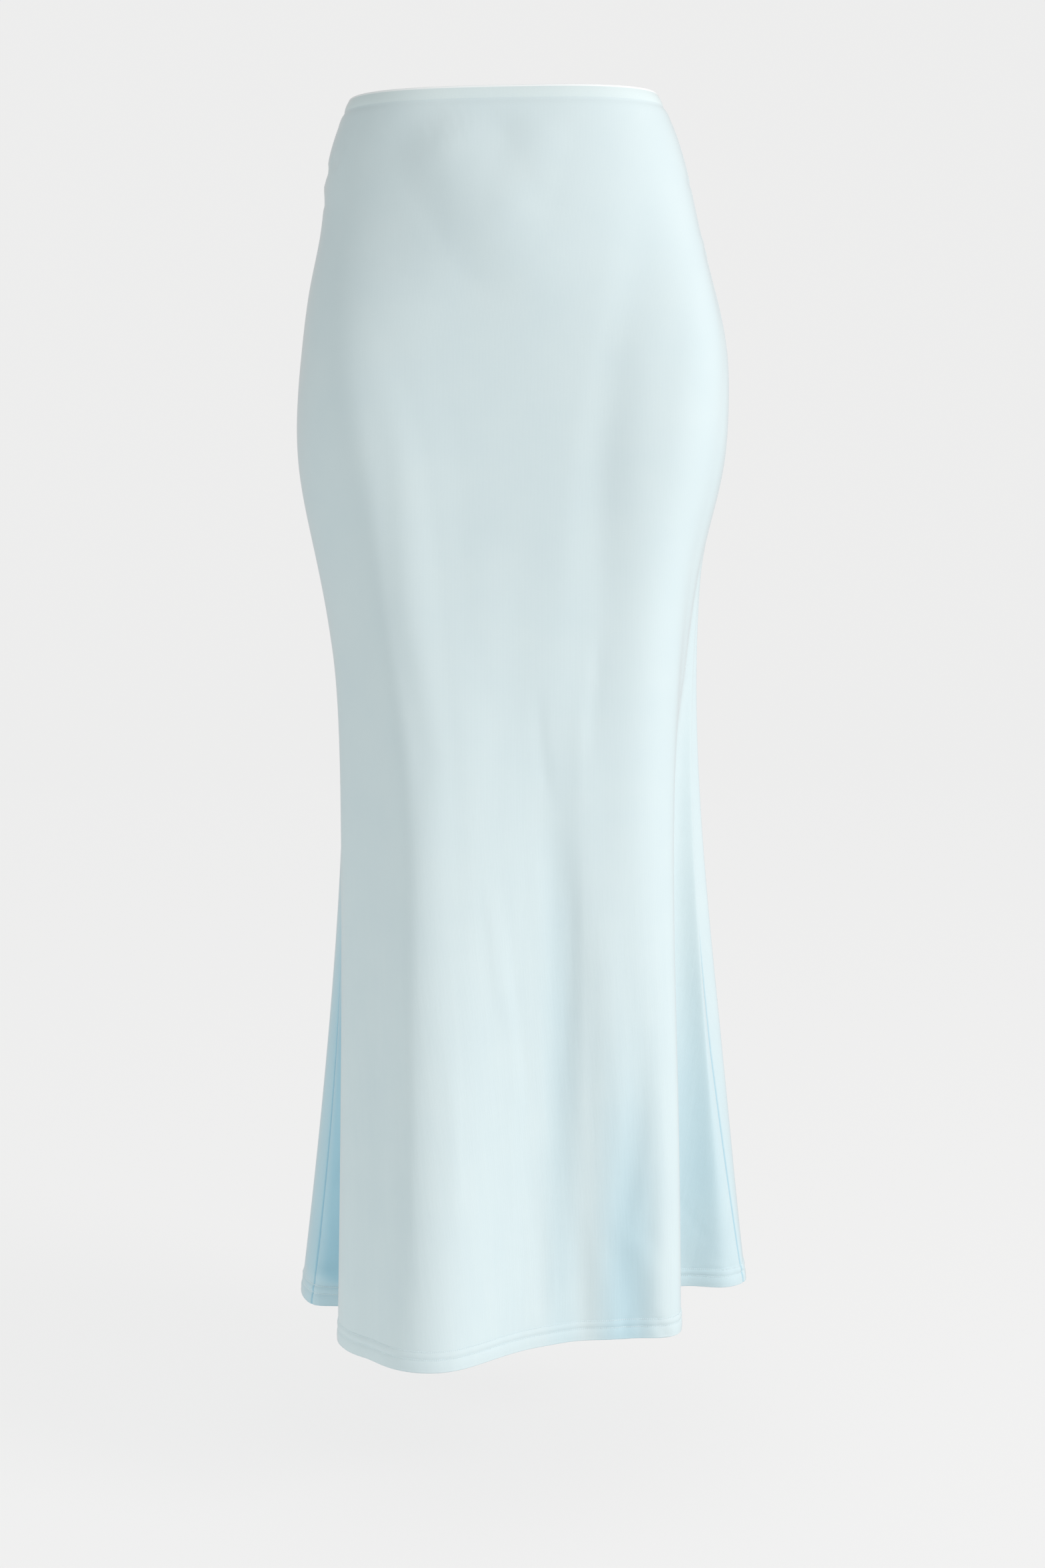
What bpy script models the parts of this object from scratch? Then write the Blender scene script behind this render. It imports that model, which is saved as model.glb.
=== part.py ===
"""Mermaid fishtail maxi skirt, hollow, in the form it has when worn.

Metres, +Z up. The origin is the centre of the waist opening. The front faces -Y and the
right of the skirt, seen from the front, is +X. The skirt is a front panel and a back panel
joined at two side seams, with the top edge turned over an elastic as a narrow casing.
"""

import math
from collections import namedtuple

import bpy
import numpy as np

# Driving sizes
LENGTH = 1.000  # from the waist edge straight down to the hem edge
CLOTH = 0.0012  # one layer of double knit jersey
SEAM_GAP = 0.0003  # left open between pieces that are sewn together
CASING_HEIGHT = 0.0100  # the turned and elasticated top edge
CASING_WALL = 0.0026  # two layers of cloth over the elastic
CASING_PROUD = 0.0004  # how far the casing swells past the cloth below it
HEM_TURN = 0.0160  # the allowance turned up inside along the hem
HEM_WALL = 0.0024  # two layers of cloth
WAIST_TILT = 0.0200  # the waist edge rises this much for each metre towards +X
TILT_FADE = 0.250  # drop at which that tilt has gone

LEFT_SEAM = 181.0  # degrees round the body: 0 right, 90 back, 180 left, 270 front
RIGHT_SEAM = 351.5
FULL_TURN = 360.0

COLUMN_WIDTH = 0.024  # widest mesh column, measured along the hem
FITTED_LENGTH = 0.380  # from the waist down to where the fishtail begins to open
FITTED_ROW = 0.028  # tallest mesh row on the curves of that stretch
FLARED_ROW = 0.062  # tallest mesh row below it
CASING_SIDES = 64

CLOTH_COLOUR = (0.60, 0.79, 0.87, 1.0)
CASING_COLOUR = (0.62, 0.80, 0.88, 1.0)
CLOTH_ROUGHNESS = 0.72
SHARP_EDGE = math.radians(50)

# The fitted tube: half widths to each side, depths to front and back, and how square each is
Section = namedtuple("Section", "drop left right front back front_square back_square")
SECTIONS = (
    Section(0.000, 0.1265, 0.1258, 0.0970, 0.0930, 2.9, 2.9),
    Section(0.020, 0.1351, 0.1364, 0.1010, 0.0960, 2.8, 2.7),
    Section(0.050, 0.1443, 0.1476, 0.1050, 0.1010, 2.8, 2.5),
    Section(0.100, 0.1498, 0.1595, 0.1085, 0.1120, 2.9, 2.4),
    Section(0.150, 0.1603, 0.1722, 0.1105, 0.1250, 3.1, 2.3),
    Section(0.200, 0.1675, 0.1834, 0.1115, 0.1340, 3.3, 2.3),
    Section(0.250, 0.1717, 0.1857, 0.1120, 0.1370, 3.4, 2.3),
    Section(0.300, 0.1704, 0.1818, 0.1130, 0.1330, 3.4, 2.3),
    Section(0.360, 0.1597, 0.1680, 0.1160, 0.1240, 3.3, 2.3),
    Section(0.420, 0.1481, 0.1575, 0.1195, 0.1140, 3.2, 2.4),
    Section(0.500, 0.1392, 0.1490, 0.1240, 0.1060, 3.1, 2.7),
    Section(0.600, 0.1355, 0.1440, 0.1270, 0.1020, 3.0, 3.0),
    Section(0.800, 0.1325, 0.1430, 0.1300, 0.1020, 3.0, 3.0),
    Section(1.000, 0.1310, 0.1420, 0.1320, 0.1040, 3.0, 3.0),
)

# The fishtail: each line runs down the cloth from the tube at `start` to its place at the hem
Fold = namedtuple("Fold", "name turn start power hem_x hem_y")
FOLDS = (
    Fold("right back flare", -2.5, 0.38, 1.10, 0.1990, 0.0430),
    Fold("right back trough", 5.0, 0.42, 1.05, 0.1480, 0.0780),
    Fold("back right wall", 13.0, 0.42, 1.20, 0.1570, 0.1200),
    Fold("back right corner", 23.0, 0.42, 1.30, 0.1630, 0.1700),
    Fold("back right crest", 38.0, 0.42, 1.35, 0.1380, 0.2200),
    Fold("back right slope", 52.0, 0.42, 1.30, 0.0980, 0.2230),
    Fold("back right furrow", 66.0, 0.44, 1.20, 0.0620, 0.1980),
    Fold("back crest", 82.0, 0.42, 1.35, 0.0200, 0.2420),
    Fold("back crest far side", 95.0, 0.42, 1.35, -0.0190, 0.2540),
    Fold("back left furrow", 112.0, 0.46, 1.20, -0.0620, 0.1960),
    Fold("back left crest", 128.0, 0.42, 1.35, -0.1060, 0.2300),
    Fold("back left corner", 146.0, 0.42, 1.30, -0.1420, 0.1880),
    Fold("back left wall", 158.0, 0.44, 1.20, -0.1420, 0.1300),
    Fold("back left trough", 168.0, 0.46, 1.05, -0.1260, 0.0860),
    Fold("left back flare", 172.5, 0.50, 1.25, -0.1610, 0.0420),
    Fold("left tip", 177.0, 0.56, 1.30, -0.1745, -0.0270),
    Fold("left seam", LEFT_SEAM, 0.52, 1.90, -0.1625, -0.0690),
    Fold("left flare", 185.0, 0.50, 1.50, -0.1410, -0.0750),
    Fold("left trough", 189.5, 0.44, 1.05, -0.1070, -0.0880),
    Fold("left wall", 194.5, 0.40, 1.25, -0.1220, -0.1200),
    Fold("left corner", 200.0, 0.38, 1.40, -0.1345, -0.1510),
    Fold("left shoulder", 208.0, 0.36, 1.50, -0.1250, -0.1860),
    Fold("left slope", 218.0, 0.34, 1.50, -0.1080, -0.2050),
    Fold("left crease", 230.0, 0.34, 1.50, -0.0890, -0.2265),
    Fold("front crest", 243.0, 0.34, 1.50, -0.0600, -0.2390),
    Fold("front crest far side", 254.0, 0.34, 1.50, -0.0330, -0.2310),
    Fold("front slope", 264.0, 0.34, 1.50, -0.0080, -0.2080),
    Fold("front middle", 274.0, 0.36, 1.50, 0.0150, -0.1870),
    Fold("front fall", 285.0, 0.38, 1.50, 0.0370, -0.1735),
    Fold("front furrow", 296.0, 0.42, 1.45, 0.0610, -0.1625),
    Fold("right crest", 307.0, 0.40, 1.45, 0.0850, -0.1600),
    Fold("right crease", 317.0, 0.40, 1.45, 0.1090, -0.1560),
    Fold("right rim", 326.0, 0.40, 1.45, 0.1310, -0.1545),
    Fold("right corner", 333.0, 0.40, 1.30, 0.1455, -0.1330),
    Fold("right wall", 338.0, 0.46, 1.10, 0.1350, -0.0900),
    Fold("right trough", 342.0, 0.47, 0.95, 0.1195, -0.0490),
    Fold("right flare", 346.0, 0.38, 1.10, 0.1560, -0.0205),
    Fold("right flare front", 349.0, 0.36, 1.10, 0.1880, -0.0245),
    Fold("right seam", RIGHT_SEAM, 0.38, 1.50, 0.2065, -0.0100),
    Fold("right tip", 354.0, 0.36, 1.10, 0.2095, 0.0130),
)

# Long soft ridges, and hollows where `rise` is below zero: each row says where one's middle
# lies, how many degrees it spreads to each side, and how far it stands out
Swell = namedtuple("Swell", "drop turn spread rise")
SWELLS = {
    "belly": (
        Swell(0.000, 279.0, 40.0, 0.0000),
        Swell(0.060, 280.0, 40.0, 0.0030),
        Swell(0.120, 282.0, 38.0, 0.0035),
        Swell(0.200, 282.0, 38.0, 0.0015),
        Swell(0.300, 282.0, 38.0, 0.0000),
    ),
    "left ridge": (
        Swell(0.160, 212.0, 15.0, 0.0000),
        Swell(0.270, 224.0, 16.0, 0.0035),
        Swell(0.360, 230.0, 16.0, 0.0045),
        Swell(0.450, 234.0, 16.0, 0.0045),
        Swell(0.550, 239.0, 15.0, 0.0045),
        Swell(0.680, 241.0, 14.0, 0.0030),
        Swell(0.850, 241.0, 14.0, 0.0010),
        Swell(1.000, 241.0, 14.0, 0.0000),
    ),
    "left hollow": (
        Swell(0.100, 197.0, 18.0, 0.0000),
        Swell(0.200, 200.0, 20.0, -0.0030),
        Swell(0.300, 206.0, 20.0, -0.0065),
        Swell(0.430, 212.0, 21.0, -0.0085),
        Swell(0.550, 219.0, 21.0, -0.0090),
        Swell(0.700, 221.0, 20.0, -0.0085),
        Swell(0.850, 222.0, 19.0, -0.0060),
        Swell(1.000, 224.0, 18.0, 0.0000),
    ),
    "right hollow": (
        Swell(0.060, 324.0, 13.0, 0.0000),
        Swell(0.130, 321.0, 14.0, -0.0015),
        Swell(0.245, 312.0, 14.0, -0.0020),
        Swell(0.350, 306.0, 14.0, -0.0020),
        Swell(0.520, 302.0, 14.0, 0.0000),
    ),
    "right ridge": (
        Swell(0.080, 336.0, 16.0, 0.0000),
        Swell(0.150, 331.0, 17.0, 0.0040),
        Swell(0.250, 325.0, 17.0, 0.0075),
        Swell(0.360, 321.0, 17.0, 0.0075),
        Swell(0.500, 320.0, 17.0, 0.0060),
        Swell(0.700, 321.0, 17.0, 0.0050),
        Swell(0.880, 322.0, 16.0, 0.0040),
        Swell(1.000, 322.0, 16.0, 0.0000),
    ),
    "front hollow": (
        Swell(0.480, 284.0, 13.0, 0.0000),
        Swell(0.600, 285.0, 14.0, -0.0025),
        Swell(0.720, 285.0, 14.0, -0.0035),
        Swell(0.860, 283.0, 13.0, -0.0030),
        Swell(1.000, 283.0, 13.0, 0.0000),
    ),
}

TURN_STEP = 0.1  # degrees, for slopes taken round the body
DROP_STEP = 0.0005  # metres, for slopes taken down the cloth


def spline(knots, values, places):
    """Read the natural cubic spline through (knots, values) at `places`."""
    knots = np.asarray(knots, float)
    values = np.asarray(values, float)
    gaps = np.diff(knots)
    slopes = np.diff(values, axis=0) / gaps[:, None]
    system = np.eye(len(knots))
    right_side = np.zeros_like(values)
    for row in range(1, len(knots) - 1):
        before, after = gaps[row - 1], gaps[row]
        system[row, row - 1 : row + 2] = before, 2 * (before + after), after
        right_side[row] = 6 * (slopes[row] - slopes[row - 1])
    bends = np.linalg.solve(system, right_side)
    span = np.clip(np.searchsorted(knots, places, side="right") - 1, 0, len(gaps) - 1)
    gap = gaps[span][:, None]
    low = (knots[span + 1] - places)[:, None]
    high = (places - knots[span])[:, None]
    return (
        (bends[span] * low**3 + bends[span + 1] * high**3) / (6 * gap)
        + (values[span] / gap - bends[span] * gap / 6) * low
        + (values[span + 1] / gap - bends[span + 1] * gap / 6) * high
    )


def section_at(drop):
    """The fitted tube's section at one drop below the waist."""
    table = np.array(SECTIONS)
    return Section(drop, *spline(table[:, 0], table[:, 1:], np.array([drop]))[0])


def tube(turns, drop):
    """Points (x, y) round the fitted tube, without the fishtail."""
    section = section_at(drop)
    angles = np.radians(turns)
    across, along = np.cos(angles), np.sin(angles)
    half_width = np.where(across > 0, section.right, section.left)
    depth = np.where(along > 0, section.back, section.front)
    square = np.where(along > 0, section.back_square, section.front_square)
    reach = (
        np.abs(across / half_width) ** square + np.abs(along / depth) ** square
    ) ** (-1 / square)
    return np.column_stack((reach * across, reach * along))


def fold_shifts(turns, drop):
    """How far the fishtail carries each place round the tube at one drop."""
    fold_turns = np.array([fold.turn for fold in FOLDS])
    hem = np.array([(fold.hem_x, fold.hem_y) for fold in FOLDS])
    grown = np.array([
        max(0.0, (drop - fold.start) / (LENGTH - fold.start)) ** fold.power
        for fold in FOLDS
    ])
    shifts = grown[:, None] * (hem - tube(fold_turns, LENGTH))
    round_turns = np.concatenate((fold_turns - FULL_TURN, fold_turns, fold_turns + FULL_TURN))
    return spline(round_turns, np.tile(shifts, (3, 1)), turns)


def swell_shifts(turns, drop):
    """How far the ridges and hollows carry each place at one drop, straight out from the axis."""
    risen = np.zeros(len(turns))
    for rows in SWELLS.values():
        if rows[0].drop < drop < rows[-1].drop:
            table = np.array(rows)
            middle, spread, rise = spline(table[:, 0], table[:, 1:], np.array([drop]))[0]
            apart = (turns - middle + FULL_TURN / 2) % FULL_TURN - FULL_TURN / 2
            risen += rise * np.clip(1 - (apart / spread) ** 2, 0, None) ** 2
    angles = np.radians(turns)
    return np.column_stack((risen * np.cos(angles), risen * np.sin(angles)))


def skirt(turns, drop):
    """Points of the skirt's outer face at one drop."""
    places = np.asarray(turns, float)
    plan = tube(places, drop) + fold_shifts(places, drop) + swell_shifts(places, drop)
    lift = WAIST_TILT * plan[:, 0] * max(0.0, 1 - drop / TILT_FADE)
    return np.column_stack((plan, lift - drop))


def skirt_frames(turns, drop):
    """Points of the outer face, with the directions round the body and out of the cloth."""
    turns = np.asarray(turns, float)
    around = skirt(turns + TURN_STEP, drop) - skirt(turns - TURN_STEP, drop)
    upper = max(0.0, drop - DROP_STEP)
    lower = min(LENGTH, drop + DROP_STEP)
    down = skirt(turns, lower) - skirt(turns, upper)
    out = np.cross(down, around)
    around /= np.linalg.norm(around, axis=1)[:, None]
    out /= np.linalg.norm(out, axis=1)[:, None]
    return skirt(turns, drop), around, out


def even_steps(start, end, longest):
    """Places from `start` to `end`, evenly spaced and no more than `longest` apart."""
    return list(np.linspace(start, end, math.ceil((end - start) / longest) + 1))


def column_turns(start, end):
    """Turns of the mesh columns from seam to seam, with one along every fold line between."""
    lines = [fold.turn for fold in FOLDS]
    lines += [turn - FULL_TURN for turn in lines]
    marks = [start] + sorted(turn for turn in lines if start < turn < end) + [end]
    columns = [start]
    for left, right in zip(marks, marks[1:]):
        ends = skirt([left, right], LENGTH)
        width = np.linalg.norm(ends[1] - ends[0])
        columns += even_steps(left, right, COLUMN_WIDTH * (right - left) / width)[1:]
    return np.array(columns)


def wall_row(columns, drop, depth):
    """One row of a panel's points, `depth` inside its outer face, half a gap off each seam."""
    points, around, out = skirt_frames(columns, drop)
    seam_offset = np.zeros(len(columns))
    seam_offset[0] = SEAM_GAP / 2
    seam_offset[-1] = -SEAM_GAP / 2
    return points + around * seam_offset[:, None] - out * depth


def new_object(name, points, faces, colour):
    """A smooth-shaded mesh object with its own material."""
    mesh = bpy.data.meshes.new(name)
    mesh.from_pydata([tuple(point) for point in points], [], faces)
    mesh.shade_smooth()
    mesh.set_sharp_from_angle(angle=SHARP_EDGE)
    made = bpy.data.objects.new(name, mesh)
    bpy.context.scene.collection.objects.link(made)
    material = bpy.data.materials.new(name)
    material.use_nodes = True
    shader = material.node_tree.nodes["Principled BSDF"]
    shader.inputs["Base Color"].default_value = colour
    shader.inputs["Roughness"].default_value = CLOTH_ROUGHNESS
    shader.inputs["Metallic"].default_value = 0.0
    mesh.materials.append(material)
    return made


def add_panel(name, start, end):
    """One panel: a thin wall between two seams, twice as thick where the hem is turned up."""
    columns = column_turns(start, end)
    turn_line = LENGTH - HEM_TURN
    single = even_steps(CASING_HEIGHT + SEAM_GAP, FITTED_LENGTH, FITTED_ROW)
    single += even_steps(FITTED_LENGTH, turn_line, FLARED_ROW)[1:]
    outer_rows = [wall_row(columns, drop, 0.0) for drop in single + [LENGTH]]
    inner_rows = [wall_row(columns, drop, CLOTH) for drop in single]
    inner_rows.append(wall_row(columns, turn_line + HEM_WALL - CLOTH, HEM_WALL))
    inner_rows.append(wall_row(columns, LENGTH, HEM_WALL))

    # The rows make one loop: down the outer face, round the hem and up the inner face
    loop = outer_rows + inner_rows[::-1]
    width = len(columns)
    numbers = np.arange(len(loop) * width).reshape(len(loop), width)
    faces = []
    for row, following in zip(numbers, np.roll(numbers, -1, axis=0)):
        for left in range(width - 1):
            faces.append((row[left], following[left], following[left + 1], row[left + 1]))
    outer = numbers[: len(outer_rows)]
    inner = numbers[len(outer_rows) :][::-1]
    for column, order in ((0, 1), (-1, -1)):
        for row in range(len(single) - 1):
            side = (outer[row], inner[row], inner[row + 1], outer[row + 1])
            faces.append([line[column] for line in side][::order])
        hem_side = (outer[-2], inner[-3], inner[-2], inner[-1], outer[-1])
        faces.append([line[column] for line in hem_side][::order])
    return new_object(name, np.concatenate(loop), faces, CLOTH_COLOUR)


def add_casing(name):
    """The turned top edge: a ring, rounded along the waist and flat where the panels begin."""
    turns = np.linspace(0, FULL_TURN, CASING_SIDES, endpoint=False)
    # Round the ring's profile: share of the wall outside its middle, share of its height down
    profile = ((0.5, 1.0), (0.5, 0.3), (0.3, 0.0), (-0.3, 0.0), (-0.5, 0.3), (-0.5, 1.0))
    points = []
    for share, height in profile:
        places, _, out = skirt_frames(turns, height * CASING_HEIGHT)
        level = out * (1, 1, 0)
        level /= np.linalg.norm(level, axis=1)[:, None]
        points.extend(places + level * (CASING_PROUD + (share - 0.5) * CASING_WALL))
    numbers = np.arange(len(points)).reshape(len(profile), CASING_SIDES)
    faces = []
    for row, following in zip(numbers, np.roll(numbers, -1, axis=0)):
        for side in range(CASING_SIDES):
            beside = (side + 1) % CASING_SIDES
            faces.append((row[side], row[beside], following[beside], following[side]))
    return new_object(name, points, faces, CASING_COLOUR)


def main():
    for thing in list(bpy.context.scene.objects):
        bpy.data.objects.remove(thing)
    add_casing("waist_casing")
    add_panel("front_panel", LEFT_SEAM, RIGHT_SEAM)
    add_panel("back_panel", RIGHT_SEAM - FULL_TURN, LEFT_SEAM)


main()
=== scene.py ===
"""The looks of the mermaid fishtail maxi skirt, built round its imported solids.

Metres, +Z up, the same frame as the part. Each piece of cloth is a thin shell laid on the form
of its solid on a finer grid, with soft creases, a turned hem, side seams and stitching. A place
on the cloth is a turn, in degrees round the body from +X towards +Y, and a drop below the waist
edge.
"""

import math
from collections import namedtuple
from functools import lru_cache

import bpy
import numpy as np
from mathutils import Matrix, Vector


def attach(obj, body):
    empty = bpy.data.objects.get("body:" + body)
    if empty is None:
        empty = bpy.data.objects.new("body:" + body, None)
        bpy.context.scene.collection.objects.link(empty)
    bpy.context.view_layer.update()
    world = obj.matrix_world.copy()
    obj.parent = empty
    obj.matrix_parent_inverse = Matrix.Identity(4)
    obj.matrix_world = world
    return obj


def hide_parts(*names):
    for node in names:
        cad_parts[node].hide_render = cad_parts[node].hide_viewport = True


# The part's own sizes
LENGTH = 1.000
CASING_HEIGHT = 0.0100
HEM_TURN = 0.0160
WAIST_TILT = 0.0200
TILT_FADE = 0.250
LEFT_SEAM = 181.0
RIGHT_SEAM = 351.5
FULL_TURN = 360.0

# The fitted tube: half widths, depths and squareness at each drop
Section = namedtuple("Section", "drop left right front back front_square back_square")
SECTIONS = (
    Section(0.000, 0.1265, 0.1258, 0.0970, 0.0930, 2.9, 2.9),
    Section(0.020, 0.1351, 0.1364, 0.1010, 0.0960, 2.8, 2.7),
    Section(0.050, 0.1443, 0.1476, 0.1050, 0.1010, 2.8, 2.5),
    Section(0.100, 0.1498, 0.1595, 0.1085, 0.1120, 2.9, 2.4),
    Section(0.150, 0.1603, 0.1722, 0.1105, 0.1250, 3.1, 2.3),
    Section(0.200, 0.1675, 0.1834, 0.1115, 0.1340, 3.3, 2.3),
    Section(0.250, 0.1717, 0.1857, 0.1120, 0.1370, 3.4, 2.3),
    Section(0.300, 0.1704, 0.1818, 0.1130, 0.1330, 3.4, 2.3),
    Section(0.360, 0.1597, 0.1680, 0.1160, 0.1240, 3.3, 2.3),
    Section(0.420, 0.1481, 0.1575, 0.1195, 0.1140, 3.2, 2.4),
    Section(0.500, 0.1392, 0.1490, 0.1240, 0.1060, 3.1, 2.7),
    Section(0.600, 0.1355, 0.1440, 0.1270, 0.1020, 3.0, 3.0),
    Section(0.800, 0.1325, 0.1430, 0.1300, 0.1020, 3.0, 3.0),
    Section(1.000, 0.1310, 0.1420, 0.1320, 0.1040, 3.0, 3.0),
)

# The fishtail: at each turn the cloth leaves the tube at the drop `start` and ends at the hem in
# (hem_x, hem_y), the more slowly at first the higher its `power`
Fold = namedtuple("Fold", "name turn start power hem_x hem_y")
FOLDS = (
    Fold("right back flare", -2.5, 0.38, 1.10, 0.1990, 0.0430),
    Fold("right back trough", 5.0, 0.42, 1.05, 0.1480, 0.0780),
    Fold("back right wall", 13.0, 0.42, 1.20, 0.1570, 0.1200),
    Fold("back right corner", 23.0, 0.42, 1.30, 0.1630, 0.1700),
    Fold("back right crest", 38.0, 0.42, 1.35, 0.1380, 0.2200),
    Fold("back right slope", 52.0, 0.42, 1.30, 0.0980, 0.2230),
    Fold("back right furrow", 66.0, 0.44, 1.20, 0.0620, 0.1980),
    Fold("back crest", 82.0, 0.42, 1.35, 0.0200, 0.2420),
    Fold("back crest far side", 95.0, 0.42, 1.35, -0.0190, 0.2540),
    Fold("back left furrow", 112.0, 0.46, 1.20, -0.0620, 0.1960),
    Fold("back left crest", 128.0, 0.42, 1.35, -0.1060, 0.2300),
    Fold("back left corner", 146.0, 0.42, 1.30, -0.1420, 0.1880),
    Fold("back left wall", 158.0, 0.44, 1.20, -0.1420, 0.1300),
    Fold("back left trough", 168.0, 0.46, 1.05, -0.1260, 0.0860),
    Fold("left back flare", 172.5, 0.50, 1.25, -0.1610, 0.0420),
    Fold("left tip", 177.0, 0.56, 1.30, -0.1745, -0.0270),
    Fold("left seam", LEFT_SEAM, 0.52, 1.90, -0.1625, -0.0690),
    Fold("left flare", 185.0, 0.50, 1.50, -0.1410, -0.0750),
    Fold("left trough", 189.5, 0.44, 1.05, -0.1070, -0.0880),
    Fold("left wall", 194.5, 0.40, 1.25, -0.1220, -0.1200),
    Fold("left corner", 200.0, 0.38, 1.40, -0.1345, -0.1510),
    Fold("left shoulder", 208.0, 0.36, 1.50, -0.1250, -0.1860),
    Fold("left slope", 218.0, 0.34, 1.50, -0.1080, -0.2050),
    Fold("left crease", 230.0, 0.34, 1.50, -0.0890, -0.2265),
    Fold("front crest", 243.0, 0.34, 1.50, -0.0600, -0.2390),
    Fold("front crest far side", 254.0, 0.34, 1.50, -0.0330, -0.2310),
    Fold("front slope", 264.0, 0.34, 1.50, -0.0080, -0.2080),
    Fold("front middle", 274.0, 0.36, 1.50, 0.0150, -0.1870),
    Fold("front fall", 285.0, 0.38, 1.50, 0.0370, -0.1735),
    Fold("front furrow", 296.0, 0.42, 1.45, 0.0610, -0.1625),
    Fold("right crest", 307.0, 0.40, 1.45, 0.0850, -0.1600),
    Fold("right crease", 317.0, 0.40, 1.45, 0.1090, -0.1560),
    Fold("right rim", 326.0, 0.40, 1.45, 0.1310, -0.1545),
    Fold("right corner", 333.0, 0.40, 1.30, 0.1455, -0.1330),
    Fold("right wall", 338.0, 0.46, 1.10, 0.1350, -0.0900),
    Fold("right trough", 342.0, 0.47, 0.95, 0.1195, -0.0490),
    Fold("right flare", 346.0, 0.38, 1.10, 0.1560, -0.0205),
    Fold("right flare front", 349.0, 0.36, 1.10, 0.1880, -0.0245),
    Fold("right seam", RIGHT_SEAM, 0.38, 1.50, 0.2065, -0.0100),
    Fold("right tip", 354.0, 0.36, 1.10, 0.2095, 0.0130),
)

# The shells
CLOTH = 0.0012
HEM_WALL = 0.0022
CASING_WALL = 0.0026
COLUMN_WIDTH = 0.0042  # widest column, along the hem
ROW_HEIGHT = 0.0042  # tallest row
SEAM_COLUMNS = (0.0004, 0.0009, 0.0015, 0.0023, 0.0034, 0.0050)  # from a seam, at the hem
TOP_ROWS = (0, 0.0008, 0.0016, 0.0026, 0.0040, 0.0060, 0.0085, 0.0115)  # below the casing
HEM_ROWS = (0.0220, 0.0195, 0.0180, 0.0170, 0.0163, 0.0156, 0.0149, 0.0140, 0.0126, 0.0113,
            0.0104, 0.0097, 0.0090, 0.0081, 0.0066, 0.0050, 0.0035, 0.0022, 0.0012, 0.0)
CASING_ROWS = (0.0100, 0.0092, 0.0084, 0.0075, 0.0065, 0.0055, 0.0045, 0.0036, 0.0028, 0.0020,
               0.0013)  # down from the waist edge
CASING_ROW = 0.0008  # about the height of one of them
CASING_COLUMNS = 540
HEM_STEP = 0.0008  # over which the wall doubles at the top of the turned hem
EDGE_ANGLES = (25, 50, 75, 105, 130, 155)  # of the rows round the hem's edge
EDGE_ROUND = 0.55  # how far the edge bulges down, in half walls
RIM_ANGLES = range(20, 181, 20)  # of the rows over the casing's rim
# Rows over the casing's rim that take the painted highlight
HIGHLIGHT_RIM_ROWS = 6

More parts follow.
